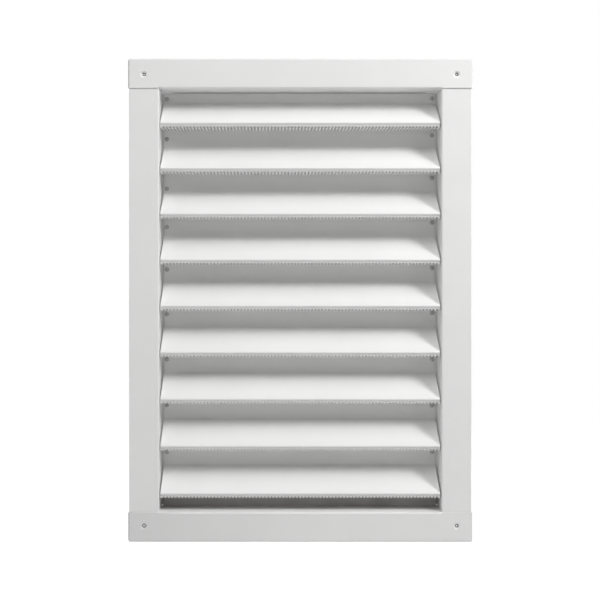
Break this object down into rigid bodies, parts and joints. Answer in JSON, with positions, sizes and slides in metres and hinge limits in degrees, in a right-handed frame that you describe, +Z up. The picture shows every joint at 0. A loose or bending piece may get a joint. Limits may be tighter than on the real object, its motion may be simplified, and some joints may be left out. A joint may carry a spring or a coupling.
{
  "type": "louvered wall vent",
  "caption": "Rectangular white aluminium wall vent with fixed sloping louvres, a built-in insect screen and a folded nailing flange.",
  "frame": {"origin": "centre of the opening in the wall, in the plane of the wall's outer face, on which the flange lies", "axes": "+Z up the vent, +Y into the wall, so the louvres face -Y, +X to the right as seen from the front"},
  "size_m": [0.3712, 0.0352, 0.5208],
  "materials": {
    "enamel": "white baked enamel on aluminium sheet, satin",
    "rivet_metal": "plain aluminium blind rivet, dull"
  },
  "bodies": {
    "root": {"left_jamb": "enamel", "right_jamb": "enamel", "head_rail": "enamel", "sill_rail": "enamel", "louver_1": "enamel", "louver_2": "enamel", "louver_3": "enamel", "louver_4": "enamel", "louver_5": "enamel", "louver_6": "enamel", "louver_7": "enamel", "louver_8": "enamel", "louver_9": "enamel", "left_rivet_1": "rivet_metal", "right_rivet_1": "rivet_metal", "left_rivet_2": "rivet_metal", "right_rivet_2": "rivet_metal", "left_rivet_3": "rivet_metal", "right_rivet_3": "rivet_metal", "left_rivet_4": "rivet_metal", "right_rivet_4": "rivet_metal", "left_rivet_5": "rivet_metal", "right_rivet_5": "rivet_metal", "left_rivet_6": "rivet_metal", "right_rivet_6": "rivet_metal", "left_rivet_7": "rivet_metal", "right_rivet_7": "rivet_metal", "left_rivet_8": "rivet_metal", "right_rivet_8": "rivet_metal", "left_rivet_9": "rivet_metal", "right_rivet_9": "rivet_metal"}
  },
  "joints": []
}
